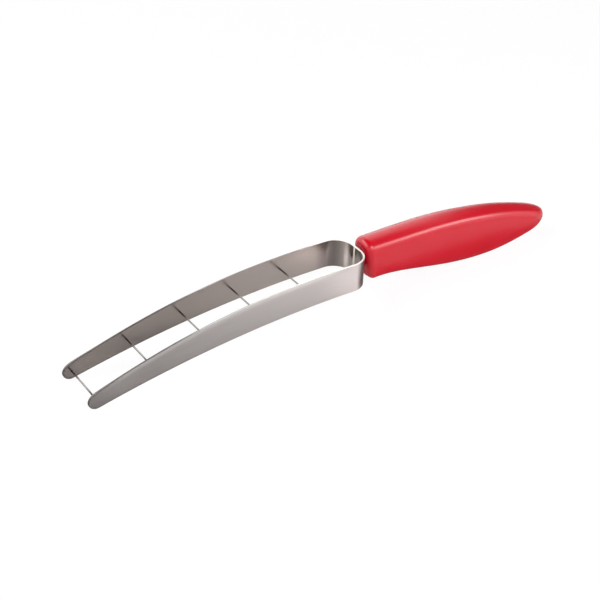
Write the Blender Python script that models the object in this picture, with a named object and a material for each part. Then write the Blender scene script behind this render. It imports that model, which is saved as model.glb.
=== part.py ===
"""Watermelon slicer: a bent steel frame with five cross wires, a tang and a moulded handle.

Metres, +Z up. The slicer lies as it rests on a table, on the tips of its two arms and the
end of its handle. +X runs from the arm tips to the end of the handle, and +Y to the second arm.
The origin is on the table, under the middle of the bounding box.

The pieces are drawn in the frame's own axes first: x is 0 on the outside of the bow's back,
y is 0 midway between the arms, and z is 0 at the strip's lower edge on the bow's back.
"""
import math

import bpy
import bmesh
from mathutils import Matrix, Vector

MM = 0.001

# Clearance that touching solids keep between their meshes.
FIT_GAP = 0.3 * MM

# The bent strip: two arms and the bow that joins them.
FRAME_WIDTH = 26.0 * MM
STRIP_THICKNESS = 1.0 * MM
STRIP_HEIGHT = 15.05 * MM
ARM_LENGTH = 152.5 * MM
BOW_FLAT_WIDTH = 5.6 * MM
EDGE_ARC_RADIUS = 586.0 * MM
EDGE_ARC_CROWN_SETBACK = 25.0 * MM
TAPER_LENGTH = 108.0 * MM
TIP_HEIGHT = 8.05 * MM
TIP_ROUNDING = 4.7 * MM
# How far the end of the tip lies above the middle line, and how fast that eases out.
TIP_RISE = 0.85 * MM
TIP_RISE_EASE = 1.4

# The ground bevel along the outer upper edge of each arm.
BEVEL_HEIGHT = 2.7 * MM
BEVEL_DEPTH = 0.45 * MM
BEVEL_RUNOUT = 14.0 * MM

# The cross wires, welded between the arms at even steps.
WIRE_COUNT = 5
WIRE_DIAMETER = 0.8 * MM
FIRST_WIRE_FROM_TIP = 4.3 * MM
LAST_WIRE_FROM_BOW = 36.6 * MM

# The tang: a strip whose bent foot is welded to the back of the bow.
TANG_THICKNESS = 1.5 * MM
TANG_HEIGHT = 12.6 * MM
TANG_LENGTH = 64.0 * MM
TANG_BEND_RADIUS = 2.2 * MM
TANG_SIDE_OFFSET = 0.9 * MM
TANG_TAIL_HEIGHT = 8.0 * MM
FOOT_WIDTH = 4.5 * MM
FOOT_EDGE_MARGIN = 3.0 * MM
MOULD_HOLE_COUNT = 2
MOULD_HOLE_DIAMETER = 5.0 * MM
FIRST_HOLE_INTO_HANDLE = 29.7 * MM
LAST_HOLE_FROM_TAIL = 9.0 * MM
HOLE_CUTTER_REACH = 2.0 * MM

# The handle: a leaf-shaped solid, moulded round the tang.
HANDLE_LENGTH = 122.1 * MM
HANDLE_FRONT_FROM_FOOT = 1.5 * MM
HANDLE_BELOW_STRIP_MIDDLE = 0.65 * MM
HANDLE_DROOP = math.radians(4.54)
HANDLE_FRONT_LEAN = math.radians(13.5)
FRONT_LEAN_RUN = 30.0 * MM
FRONT_FILLET = 3.4 * MM
# Heights of the top and bottom lines above the handle's axis, at equal steps along it.
TOP_LINE = (11.6 * MM, 14.1 * MM, 14.2 * MM, 11.4 * MM, 8.6 * MM)
BOTTOM_LINE = (-10.1 * MM, -10.3 * MM, -13.3 * MM, -12.1 * MM, -8.0 * MM)
FRONT_HALF_WIDTH = 7.4 * MM
MIDDLE_HALF_WIDTH = 8.2 * MM
END_HALF_WIDTH = 6.9 * MM
NOSE_LENGTH = 45.5 * MM
NOSE_FULLNESS = 2.38
NOSE_SIDE_LENGTH = 13.0 * MM
HANDLE_EDGE_RADIUS = 2.1 * MM
SIDE_CROWN = 0.8 * MM
TOP_CROWN = 2.7 * MM
BOTTOM_CROWN = 1.2 * MM

# How finely the curves are drawn.
SHARP_EDGE_ANGLE = math.radians(30)
ARM_STEPS = 30
TIP_STEPS = 8
CORNER_STEPS = 12
FOOT_STEPS = 4
BLADE_STEPS = 6
FOOT_BEND_STEPS = 6
WIRE_SIDES = 16
HOLE_SIDES = 24
FILLET_STEPS = 6
HANDLE_STEPS = 20
NOSE_STEPS = 16
SECTION_CORNER_STEPS = 6
SECTION_FLAT_STEPS = 4
# The largest edge radius of a section, as a share of its half width or half height.
ROUNDEST_EDGE = 0.98
SETTLE_STEPS = 12
MERGE_DISTANCE = 1e-6


class Station:
    """One place along a bent strip: its plan position, its outward side and its edges."""

    def __init__(self, x, y, outward, low, high, bevel=0.0):
        self.x = x
        self.y = y
        self.outward = outward
        self.low = low
        self.high = high
        self.bevel = bevel

    def ring(self, thickness):
        """Returns the five corners of the strip's section, round from the inner lower one."""
        inner, outer = -thickness / 2, thickness / 2
        corners = (
            (inner, self.low),
            (outer, self.low),
            (outer, self.high - BEVEL_HEIGHT * self.bevel),
            (outer - BEVEL_DEPTH * self.bevel, self.high),
            (inner, self.high),
        )
        dx, dy = self.outward
        return [Vector((self.x + dx * side, self.y + dy * side, z)) for side, z in corners]


def new_material(name, colour, metallic, roughness):
    """Returns a Principled material of one colour."""
    material = bpy.data.materials.new(name)
    material.use_nodes = True
    shader = material.node_tree.nodes["Principled BSDF"]
    shader.inputs["Base Color"].default_value = (*colour, 1.0)
    shader.inputs["Metallic"].default_value = metallic
    shader.inputs["Roughness"].default_value = roughness
    material.diffuse_color = (*colour, 1.0)
    return material


def add_object(name, bm, parent, material=None):
    """Closes a bmesh into a smooth-shaded object with its faces outward."""
    bmesh.ops.remove_doubles(bm, verts=bm.verts, dist=MERGE_DISTANCE)
    bmesh.ops.dissolve_degenerate(bm, edges=bm.edges, dist=MERGE_DISTANCE)
    bmesh.ops.recalc_face_normals(bm, faces=bm.faces)
    mesh = bpy.data.meshes.new(name)
    bm.to_mesh(mesh)
    bm.free()
    mesh.shade_smooth()
    mesh.set_sharp_from_angle(angle=SHARP_EDGE_ANGLE)
    if material is not None:
        mesh.materials.append(material)
    placed = bpy.data.objects.new(name, mesh)
    bpy.context.scene.collection.objects.link(placed)
    placed.parent = parent
    return placed


def make_cutter(placed):
    """Marks an object as a guide that only cuts others."""
    placed.hide_render = True
    placed.display_type = 'WIRE'


def cut(target, cutter, operation='DIFFERENCE'):
    """Adds an exact Boolean to the target."""
    modifier = target.modifiers.new(cutter.name, 'BOOLEAN')
    modifier.operation = operation
    modifier.solver = 'EXACT'
    modifier.object = cutter


def skin(rings):
    """Returns a bmesh that joins equal rings of points and closes both ends."""
    bm = bmesh.new()
    rows = [[bm.verts.new(point) for point in ring] for ring in rings]
    count = len(rows[0])
    for row, following in zip(rows, rows[1:]):
        for i in range(count):
            j = (i + 1) % count
            bm.faces.new((row[i], row[j], following[j], following[i]))
    bm.faces.new(rows[0])
    bm.faces.new(rows[-1])
    return bm


def even_steps(first, last, count):
    """Returns count places from first to last at even steps."""
    step = (last - first) / max(1, count - 1)
    return [first + step * i for i in range(count)]


def bow_radius():
    """Outer radius of the two corners between the bow's flat back and the arms."""
    return (FRAME_WIDTH - BOW_FLAT_WIDTH) / 2


def lower_edge(x):
    """Height of the strip's lower edge, a shallow arc that is 0 at the bow's back."""
    from_crown = x + EDGE_ARC_CROWN_SETBACK
    crown_rise = math.sqrt(EDGE_ARC_RADIUS ** 2 - EDGE_ARC_CROWN_SETBACK ** 2)
    return math.sqrt(EDGE_ARC_RADIUS ** 2 - from_crown ** 2) - crown_rise


def untipped_height(x):
    """Height of the strip before its tip is rounded: full at the bow, less toward the tip."""
    into_taper = max(0.0, TAPER_LENGTH - ARM_LENGTH - x)
    return STRIP_HEIGHT - (STRIP_HEIGHT - TIP_HEIGHT) * (into_taper / TAPER_LENGTH) ** 2


def middle_line(x):
    """Height of the strip's middle line, which rises a little into the tip."""
    into_tip = max(0.0, 1 - (x + ARM_LENGTH) / TIP_ROUNDING)
    return lower_edge(x) + untipped_height(x) / 2 + TIP_RISE * into_tip ** TIP_RISE_EASE


def strip_height(x):
    """Height of the strip, with the round tip."""
    from_end = max(0.0, x + ARM_LENGTH)
    height = untipped_height(x)
    if from_end < TIP_ROUNDING:
        height *= math.sqrt(1 - (1 - from_end / TIP_ROUNDING) ** 2)
    return height


def bevel_share(x):
    """How much of the bevel there is: all of it on the arm, none at the tip and the bow."""
    from_end = x + ARM_LENGTH - TIP_ROUNDING
    from_bow = -bow_radius() - x
    share = min(from_end, from_bow) / BEVEL_RUNOUT
    share = min(1.0, max(0.0, share))
    return share * share * (3 - 2 * share)


def arm_positions():
    """Returns x along an arm, from the end of its tip to where the bow's corner starts."""
    tip = [TIP_ROUNDING * (1 - math.cos(math.pi / 2 * i / TIP_STEPS)) for i in range(TIP_STEPS)]
    straight = ARM_LENGTH - bow_radius() - TIP_ROUNDING
    rest = [TIP_ROUNDING + straight * i / ARM_STEPS for i in range(ARM_STEPS + 1)]
    return [along - ARM_LENGTH for along in tip + rest]


def frame_station(x, y, outward):
    """Returns the station of the cutting frame at one place of its plan."""
    middle = middle_line(x)
    half = strip_height(x) / 2
    return Station(x, y, outward, middle - half, middle + half, bevel_share(x))


def frame_stations():
    """Returns the stations of the whole strip: near arm, bow, far arm."""
    arm_y = (FRAME_WIDTH - STRIP_THICKNESS) / 2
    near_arm = [frame_station(x, -arm_y, (0.0, -1.0)) for x in arm_positions()]
    far_arm = [frame_station(x, arm_y, (0.0, 1.0)) for x in reversed(arm_positions())]
    radius = bow_radius() - STRIP_THICKNESS / 2
    bow = []
    for side in (-1, 1):
        for i in range(CORNER_STEPS + 1):
            turn = math.pi / 2 * i / CORNER_STEPS
            turn = turn if side < 0 else math.pi / 2 - turn
            dx, dy = math.sin(turn), side * math.cos(turn)
            x = -bow_radius() + radius * dx
            y = side * BOW_FLAT_WIDTH / 2 + radius * dy
            bow.append(frame_station(x, y, (dx, dy)))
    return near_arm[:-1] + bow + far_arm[1:]


def build_cutting_frame(rest_pose):
    """The U-shaped strip, with arms that curve in their own plane and end in round tips."""
    rings = [station.ring(STRIP_THICKNESS) for station in frame_stations()]
    steel = new_material("brushed_strip_steel", (0.46, 0.44, 0.43), 1.0, 0.34)
    add_object("cutting_frame", skin(rings), rest_pose, steel)


def build_cross_wires(rest_pose):
    """Round wires from arm to arm, at the middle of the strip's height."""
    steel = new_material("drawn_wire_steel", (0.50, 0.49, 0.48), 1.0, 0.28)
    length = FRAME_WIDTH - 2 * STRIP_THICKNESS - 2 * FIT_GAP
    places = even_steps(FIRST_WIRE_FROM_TIP - ARM_LENGTH, -LAST_WIRE_FROM_BOW, WIRE_COUNT)
    for number, x in enumerate(places, 1):
        bm = bmesh.new()
        bmesh.ops.create_cone(
            bm, cap_ends=True, segments=WIRE_SIDES,
            radius1=WIRE_DIAMETER / 2, radius2=WIRE_DIAMETER / 2, depth=length)
        wire = add_object(f"cross_wire_{number}", bm, rest_pose, steel)
        wire.location = (x, 0.0, middle_line(x))
        wire.rotation_euler = (math.pi / 2, 0.0, 0.0)


def handle_front():
    """Distance from the bow's outside to the handle's front, on the handle's axis."""
    return FIT_GAP + TANG_THICKNESS + HANDLE_FRONT_FROM_FOOT


def tang_middle(x):
    """Height of the tang's middle line: level at the bow, then drooping inside the handle."""
    into_handle = max(0.0, x - handle_front())
    return STRIP_HEIGHT / 2 - into_handle * math.tan(HANDLE_DROOP)


def foot_place(run):
    """Returns the foot's middle and its outward side, at a run from the blade round the bow."""
    reach = FIT_GAP + TANG_THICKNESS / 2
    radius = bow_radius() + reach
    flat_run = TANG_SIDE_OFFSET + BOW_FLAT_WIDTH / 2
    turn = max(0.0, run - flat_run) / radius
    x = reach - radius * (1 - math.cos(turn))
    y = TANG_SIDE_OFFSET - min(run, flat_run) - radius * math.sin(turn)
    return x, y, (-math.cos(turn), math.sin(turn))


def tang_plan(overrun=0.0):
    """Returns the tang's plan points with their outward sides, from the foot's end to the tail."""
    runs = even_steps(FOOT_WIDTH + overrun, TANG_BEND_RADIUS, FOOT_STEPS + 1)
    points = [foot_place(run) for run in runs[:-1]]
    bend_x = FIT_GAP + TANG_THICKNESS / 2 + TANG_BEND_RADIUS
    bend_y = TANG_SIDE_OFFSET - TANG_BEND_RADIUS
    for i in range(FOOT_BEND_STEPS + 1):
        turn = math.pi / 2 * i / FOOT_BEND_STEPS
        dx, dy = -math.cos(turn), math.sin(turn)
        points.append((bend_x + TANG_BEND_RADIUS * dx, bend_y + TANG_BEND_RADIUS * dy, (dx, dy)))
    for x in even_steps(bend_x, TANG_LENGTH + overrun, BLADE_STEPS + 1)[1:]:
        points.append((x, TANG_SIDE_OFFSET, (0.0, 1.0)))
    return points


def tang_half_height(x):
    """Half the tang's height: low at the foot, full behind it and low again at the tail."""
    foot_height = STRIP_HEIGHT - 2 * FOOT_EDGE_MARGIN
    shoulder = FIT_GAP + TANG_THICKNESS
    into_blade = min(1.0, max(0.0, (x - shoulder) / TANG_BEND_RADIUS))
    to_tail = min(1.0, max(0.0, (x - TANG_LENGTH / 2) / (TANG_LENGTH / 2)))
    blade = TANG_HEIGHT + (TANG_TAIL_HEIGHT - TANG_HEIGHT) * to_tail
    return (foot_height + (blade - foot_height) * into_blade) / 2


def tang_rings(grow=0.0):
    """Returns the tang's sections from its foot to its tail, grown outward on every side."""
    rings = []
    for x, y, outward in tang_plan(grow):
        middle = tang_middle(x)
        half = tang_half_height(x) + grow
        station = Station(x, y, outward, middle - half, middle + half)
        rings.append(station.ring(TANG_THICKNESS + 2 * grow))
    return rings


def mould_hole_cylinders(name, diameter, parent):
    """Adds a guide cylinder along Y at each hole that the plastic runs through."""
    first = handle_front() + FIRST_HOLE_INTO_HANDLE
    cylinders = []
    for number, x in enumerate(
            even_steps(first, TANG_LENGTH - LAST_HOLE_FROM_TAIL, MOULD_HOLE_COUNT), 1):
        bm = bmesh.new()
        bmesh.ops.create_cone(
            bm, cap_ends=True, segments=HOLE_SIDES, radius1=diameter / 2, radius2=diameter / 2,
            depth=TANG_THICKNESS + 2 * HOLE_CUTTER_REACH)
        placed = add_object(f"{name}_{number}", bm, parent)
        placed.location = (x, TANG_SIDE_OFFSET, tang_middle(x))
        placed.rotation_euler = (math.pi / 2, 0.0, 0.0)
        make_cutter(placed)
        cylinders.append(placed)
    return cylinders


def build_tang(rest_pose):
    """The strip that carries the handle: its foot is welded on the bow, its blade is moulded in."""
    steel = new_material("tang_steel", (0.45, 0.44, 0.42), 1.0, 0.42)
    tang = add_object("tang", skin(tang_rings()), rest_pose, steel)
    for hole in mould_hole_cylinders("mould_hole", MOULD_HOLE_DIAMETER, rest_pose):
        cut(tang, hole)


def line_through(heights, share):
    """Returns the height at a share of the length, on the smooth curve through equal steps."""
    last = len(heights) - 1
    place = share * last
    total = 0.0
    for i, height in enumerate(heights):
        weight = 1.0
        for j in range(len(heights)):
            if j != i:
                weight *= (place - j) / (i - j)
        total += weight * height
    return total


def half_width_at(share):
    """Half the handle's width before its end is rounded in plan."""
    widths = (FRONT_HALF_WIDTH, MIDDLE_HALF_WIDTH, END_HALF_WIDTH)
    return line_through(widths, share)


def handle_section(half_width, half_height, edge_radius):
    """Returns the outline of one section: a rounded rectangle whose four sides are crowned."""
    slimness = min(1.0, half_height / half_width)
    side_crown = half_width * SIDE_CROWN / MIDDLE_HALF_WIDTH
    top_crown = half_width * slimness * TOP_CROWN / MIDDLE_HALF_WIDTH
    bottom_crown = half_width * slimness * BOTTOM_CROWN / MIDDLE_HALF_WIDTH
    width = half_width - side_crown
    height = half_height - (top_crown + bottom_crown) / 2
    lift = (bottom_crown - top_crown) / 2
    radius = min(edge_radius, ROUNDEST_EDGE * width, ROUNDEST_EDGE * height)
    arcs = []
    for quarter, (side, up) in enumerate(((1, 1), (-1, 1), (-1, -1), (1, -1))):
        arc = []
        for i in range(SECTION_CORNER_STEPS + 1):
            angle = math.pi / 2 * (quarter + i / SECTION_CORNER_STEPS)
            y = side * (width - radius) + radius * math.cos(angle)
            z = up * (height - radius) + radius * math.sin(angle)
            arc.append(Vector((y, z)))
        arcs.append(arc)
    points = []
    for arc, following in zip(arcs, arcs[1:] + arcs[:1]):
        points += arc
        for i in range(1, SECTION_FLAT_STEPS):
            points.append(arc[-1].lerp(following[0], i / SECTION_FLAT_STEPS))
    crowned = []
    for y, z in points:
        side_bulge = side_crown * (1 - (z / height) ** 2) * y / width
        crown = top_crown if z > 0 else bottom_crown
        top_bulge = crown * (1 - (y / width) ** 2) * z / height
        crowned.append((y + side_bulge, z + lift + top_bulge))
    return crowned


def handle_places():
    """Returns the sections' places along the handle, closer at the front fillet and the nose."""
    fillet = [
        FRONT_FILLET * (1 - math.cos(math.pi / 2 * i / FILLET_STEPS)) for i in range(FILLET_STEPS)]
    body = HANDLE_LENGTH - NOSE_LENGTH - FRONT_FILLET
    middle = [FRONT_FILLET + body * i / HANDLE_STEPS for i in range(HANDLE_STEPS)]
    nose_start = HANDLE_LENGTH - NOSE_LENGTH
    nose = [
        nose_start + NOSE_LENGTH * math.sin(math.pi / 2 * i / NOSE_STEPS)
        for i in range(NOSE_STEPS + 1)]
    return fillet + middle + nose


def handle_ring(along):
    """Returns the points of the handle's section at one place along its axis."""
    share = along / HANDLE_LENGTH
    top = line_through(TOP_LINE, share)
    bottom = line_through(BOTTOM_LINE, share)
    half_width = half_width_at(share)
    half_height = (top - bottom) / 2
    into_nose = max(0.0, (along - HANDLE_LENGTH + NOSE_LENGTH) / NOSE_LENGTH)
    half_height *= max(0.0, 1 - into_nose ** NOSE_FULLNESS) ** (1 / NOSE_FULLNESS)
    into_side = max(0.0, (along - HANDLE_LENGTH + NOSE_SIDE_LENGTH) / NOSE_SIDE_LENGTH)
    half_width *= math.sqrt(max(0.0, 1 - into_side ** 2))
    before_fillet = max(0.0, 1 - along / FRONT_FILLET)
    inset = FRONT_FILLET * (1 - math.sqrt(1 - before_fillet ** 2))
    half_width = max(half_width - inset, MERGE_DISTANCE)
    half_height = max(half_height - inset, MERGE_DISTANCE)
    lean_left = max(0.0, 1 - along / FRONT_LEAN_RUN) ** 2
    front_x = handle_front()
    front_z = STRIP_HEIGHT / 2 - HANDLE_BELOW_STRIP_MIDDLE
    ring = []
    for y, up in handle_section(half_width, half_height, HANDLE_EDGE_RADIUS):
        height = (top + bottom) / 2 + up
        length = along - math.tan(HANDLE_FRONT_LEAN) * lean_left * height
        x = front_x + length * math.cos(HANDLE_DROOP) + height * math.sin(HANDLE_DROOP)
        z = front_z - length * math.sin(HANDLE_DROOP) + height * math.cos(HANDLE_DROOP)
        ring.append(Vector((x, y, z)))
    return ring


def build_handle(rest_pose):
    """The moulded handle, with the slot that the tang fills and the pegs through its holes."""
    rings = [handle_ring(along) for along in handle_places()]
    plastic = new_material("red_handle_plastic", (0.60, 0.02, 0.04), 0.0, 0.38)
    handle = add_object("handle", skin(rings), rest_pose, plastic)
    slot = add_object("tang_slot", skin(tang_rings(FIT_GAP)), rest_pose)
    make_cutter(slot)
    for peg in mould_hole_cylinders("moulded_peg", MOULD_HOLE_DIAMETER - 2 * FIT_GAP, rest_pose):
        cut(slot, peg)
    cut(handle, slot)


def settle():
    """Returns the pitch and the shift that rest the slicer on its tips and its handle's end."""
    arm = [Vector((station.x, 0.0, station.low)) for station in frame_stations()]
    tips = [point for point in arm if point.x < -ARM_LENGTH / 2]
    handle = [point for along in handle_places() for point in handle_ring(along)]
    pitch = 0.0
    for _ in range(SETTLE_STEPS):
        turn = Matrix.Rotation(pitch, 3, 'Y')
        tip = min((turn @ point for point in tips), key=lambda point: point.z)
        end = min((turn @ point for point in handle), key=lambda point: point.z)
        pitch += math.atan2(end.z - tip.z, end.x - tip.x)
    turn = Matrix.Rotation(pitch, 3, 'Y')
    turned = [turn @ point for point in arm + handle]
    low_x = min(point.x for point in turned)
    high_x = max(point.x for point in turned)
    low_z = min(point.z for point in turned)
    return pitch, (-(low_x + high_x) / 2, 0.0, -low_z)


def main():
    """Builds the slicer at rest."""
    for old in list(bpy.data.objects):
        bpy.data.objects.remove(old)
    rest_pose = bpy.data.objects.new("rest_pose", None)
    bpy.context.scene.collection.objects.link(rest_pose)
    pitch, shift = settle()
    rest_pose.rotation_euler = (0.0, pitch, 0.0)
    rest_pose.location = shift
    build_cutting_frame(rest_pose)
    build_cross_wires(rest_pose)
    build_tang(rest_pose)
    build_handle(rest_pose)


if __name__ == "__main__":
    main()
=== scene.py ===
"""Studio picture of a watermelon slicer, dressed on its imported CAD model.

A steel strip is bent into a long U whose arms end in round tips. Five wires cross it, and a
moulded plastic handle sits on the tang behind its bow. Lengths are in metres, in the model's
own frame: +X runs from the tips to the handle's end, and the table is at z = 0.

The pieces are drawn in the strip's own axes first: x is 0 on the outside of the bow's back,
y is 0 midway between the arms, and z is 0 at the strip's lower edge on the bow's back.
"""

import logging
import math
from dataclasses import dataclass, field
from enum import Enum
from functools import partial
from typing import Any, Callable, Optional, Sequence, Union

import bpy
from mathutils import Matrix, Vector


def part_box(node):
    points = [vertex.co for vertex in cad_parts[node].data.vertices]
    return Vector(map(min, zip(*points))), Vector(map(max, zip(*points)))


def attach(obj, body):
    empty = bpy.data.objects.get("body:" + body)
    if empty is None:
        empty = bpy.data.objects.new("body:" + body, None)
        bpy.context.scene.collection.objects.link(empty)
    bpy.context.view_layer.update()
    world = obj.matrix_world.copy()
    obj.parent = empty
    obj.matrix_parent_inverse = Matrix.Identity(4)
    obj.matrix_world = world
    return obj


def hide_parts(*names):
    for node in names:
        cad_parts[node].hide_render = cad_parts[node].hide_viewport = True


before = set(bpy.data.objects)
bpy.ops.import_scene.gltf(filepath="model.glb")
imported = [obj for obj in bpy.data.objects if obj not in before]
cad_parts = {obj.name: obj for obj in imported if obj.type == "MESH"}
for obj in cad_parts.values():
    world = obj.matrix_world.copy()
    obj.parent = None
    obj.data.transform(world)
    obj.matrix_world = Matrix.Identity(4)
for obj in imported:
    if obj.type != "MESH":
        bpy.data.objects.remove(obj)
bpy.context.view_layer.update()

MM = 0.001
ROOT_BODY = "root"
# The turn about Y, in radians, that rests the tips and the handle's end on the table.
REST_PITCH = -0.000227
RUN_UV = "run_and_height"
# What the strip's vertices carry for its finish, with its painted shade and highlights, in the
# order in which its blank lists them.
STRIP_SHARES = ("ground_share", "edge_share", "inner_share", "rim_share")
# Where the wires' ends are darker: weld oxide, and painted shade near the arms.
WELD_SHARE = "weld_share"
# The setting of a Map Range node that fades out gently at both ends.
EASED = {"interpolation_type": "SMOOTHSTEP"}

log = logging.getLogger("watermelon_slicer")

Plan = tuple[float, float]
Loop = Sequence[int]
Socket = bpy.types.NodeSocket
Inputs = Union[dict[str, Any], Sequence[Any]]
AddNode = Callable[..., Socket]

# The kind of tree input that holds each type of value.
SOCKET_KINDS = (
    (float, "NodeSocketFloat"),
    (int, "NodeSocketInt"),
    (tuple, "NodeSocketVector"),
    (bpy.types.Material, "NodeSocketMaterial"),
)


class Slot(Enum):
    """The record's material slots, named for the new pieces."""

    FRAME = "frame_steel"
    WIRE = "wire_steel"
    HANDLE = "handle_plastic"


class Side(Enum):
    """Which arm of the strip a place is on. The value is the sign of its run and its y."""

    NEAR = -1
    FAR = 1

    @classmethod
    def of(cls, run: float) -> "Side":
        """Returns the side of a place, from its run past the bow's middle."""
        return cls.NEAR if run < 0 else cls.FAR


def linear(hex_colour: str) -> tuple[float, float, float, float]:
    """Turns an sRGB hex colour into linear values, by the curve of the sRGB standard.

    Args:
        hex_colour: Six hex digits, with or without a leading #.

    Returns:
        Linear red, green and blue, and an alpha of 1.
    """
    digits = hex_colour.lstrip("#")
    channels = []
    for start in (0, 2, 4):
        value = int(digits[start:start + 2], 16) / 255
        if value <= 0.04045:
            channels.append(value / 12.92)
        else:
            channels.append(((value + 0.055) / 1.055) ** 2.4)
    return (channels[0], channels[1], channels[2], 1.0)


def smooth_step(share: float) -> float:
    """Eases a share between 0 and 1 at both ends."""
    held = min(1.0, max(0.0, share))
    return held * held * (3 - 2 * held)


def feed(node: bpy.types.Node, inputs: Inputs) -> None:
    """Gives a node its inputs.

    Args:
        node: The node.
        inputs: A socket to link from or a value for each input, by name or in order.
    """
    sockets = [socket for socket in node.inputs if socket.enabled]
    by_name = {socket.name: socket for socket in reversed(sockets)}
    pairs = inputs.items() if isinstance(inputs, dict) else enumerate(inputs)
    for key, value in pairs:
        socket = by_name[key] if isinstance(key, str) else sockets[key]
        if isinstance(value, Socket):
            node.id_data.links.new(value, socket)
        else:
            socket.default_value = value


def add_node(tree: bpy.types.NodeTree, kind: str, inputs: Inputs = (), output: str = "",
             **settings: Any) -> Optional[Socket]:
    """Adds a node with its settings and its inputs.

    Args:
        tree: The shader or geometry tree that the node goes into.
        kind: The node's type name.
        inputs: A socket to link from or a value for each input, by name or in order.
        output: The output wanted, where it isn't the first one.
        settings: The node's other settings.

    Returns:
        The wanted output, or None from a node without outputs.
    """
    node = tree.nodes.new(kind)
    for name, value in settings.items():
        setattr(node, name, value)
    feed(node, inputs)
    return next((s for s in node.outputs if s.enabled and output in ("", s.name)), None)


def new_object(name: str, mesh: bpy.types.Mesh) -> bpy.types.Object:
    """Links a new object for a mesh, at the origin."""
    placed = bpy.data.objects.new(name, mesh)
    bpy.context.scene.collection.objects.link(placed)
    return placed


def new_mesh(name: str, points: Sequence[Sequence[float]],
             faces: Sequence[Loop] = ()) -> bpy.types.Mesh:
    """Makes a smooth-shaded mesh.

    Args:
        name: The mesh's name.
        points: Its vertices.
        faces: Its faces, as vertex numbers in outward order.

    Returns:
        The mesh.
    """
    mesh = bpy.data.meshes.new(name)
    mesh.from_pydata([tuple(point) for point in points], [], [tuple(face) for face in faces])
    if faces:
        mesh.shade_smooth()
    return mesh


def bridge(rings: Sequence[Loop], flip: bool = False) -> list[Loop]:
    """Returns the faces between closed rings.

    Args:
        rings: The rings, as vertex numbers.
        flip: True to turn the faces over.

    Returns:
        The faces.
    """
    faces: list[Loop] = []
    for ring, following in zip(rings, rings[1:]):
        for k in range(len(ring)):
            face = (ring[k - 1], following[k - 1], following[k], ring[k])
            faces.append((face[0], *face[:0:-1]) if flip else face)
    return faces


def fan(tip: int, ring: Loop) -> list[Loop]:
    """Returns the faces between one vertex and a closed ring."""
    return [(tip, ring[k - 1], ring[k]) for k in range(len(ring))]


def dress(piece: bpy.types.Object, slot: Slot, nodes: Sequence[str]) -> None:
    """Puts a new piece on the frame.

    Args:
        piece: The finished piece.
        slot: A material slot. It is not used.
        nodes: The CAD nodes that it stands for.
    """
    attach(piece, ROOT_BODY)
    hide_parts(*nodes)


class GeometryRecipe:
    """A Geometry Nodes tree with named inputs, made in the script and baked to a plain mesh."""

    def __init__(self, name: str, inputs: dict[str, Any]) -> None:
        """Starts the tree with its geometry and its named inputs.

        Args:
            name: The tree's name.
            inputs: The value of each input, besides the geometry.
        """
        self.tree = bpy.data.node_groups.new(name, "GeometryNodeTree")
        self.add = partial(add_node, self.tree)
        face = self.tree.interface
        face.new_socket("Geometry", in_out="INPUT", socket_type="NodeSocketGeometry")
        face.new_socket("Geometry", in_out="OUTPUT", socket_type="NodeSocketGeometry")
        self.values: dict[str, Any] = {}
        for given_name, value in inputs.items():
            kind = next(kind for made_of, kind in SOCKET_KINDS if isinstance(value, made_of))
            socket = face.new_socket(given_name, in_out="INPUT", socket_type=kind)
            self.values[socket.identifier] = value
        self.start = self.tree.nodes.new("NodeGroupInput")

    def given(self, name: str) -> Socket:
        """Returns the tree's input of that name."""
        return self.start.outputs[name]

    def close(self, geometry: Socket) -> None:
        """Ends the tree in Realize Instances and Set Material."""
        real = self.add("GeometryNodeRealizeInstances", (geometry,))
        finished = self.add("GeometryNodeSetMaterial", {
            "Geometry": real, "Material": self.given("Material")})
        self.add("NodeGroupOutput", {"Geometry": finished})

    def bake(self, blank: bpy.types.Object, name: str) -> bpy.types.Object:
        """Runs the tree on a blank and returns the result as an object with a plain mesh.

        Args:
            blank: The object that the tree starts from. It is removed.
            name: The result's name.

        Returns:
            The finished object, at the origin and without modifiers.
        """
        modifier = blank.modifiers.new(name, "NODES")
        modifier.node_group = self.tree
        for identifier, value in self.values.items():
            modifier[identifier] = value
        graph = bpy.context.evaluated_depsgraph_get()
        graph.update()
        mesh = bpy.data.meshes.new_from_object(
            blank.evaluated_get(graph), preserve_all_data_layers=True, depsgraph=graph)
        mesh.name = name
        blank.modifiers.remove(modifier)
        old = blank.data
        bpy.data.objects.remove(blank)
        bpy.data.meshes.remove(old)
        return new_object(name, mesh)


class Finish:
    """Base of the finishes: a material whose nodes a subclass adds."""

    name: str = "finish"

    def make(self) -> bpy.types.Material:
        """Makes the material."""
        material = bpy.data.materials.new(self.name)
        material.use_nodes = True
        tree = material.node_tree
        self.fill(partial(add_node, tree), tree.nodes["Principled BSDF"])
        return material

    def fill(self, add: AddNode, shader: bpy.types.Node) -> None:
        """Adds the patterns and sets the shader.

        Args:
            add: Adds a node to the material.
            shader: The material's Principled shader.
        """
        raise NotImplementedError


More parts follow.
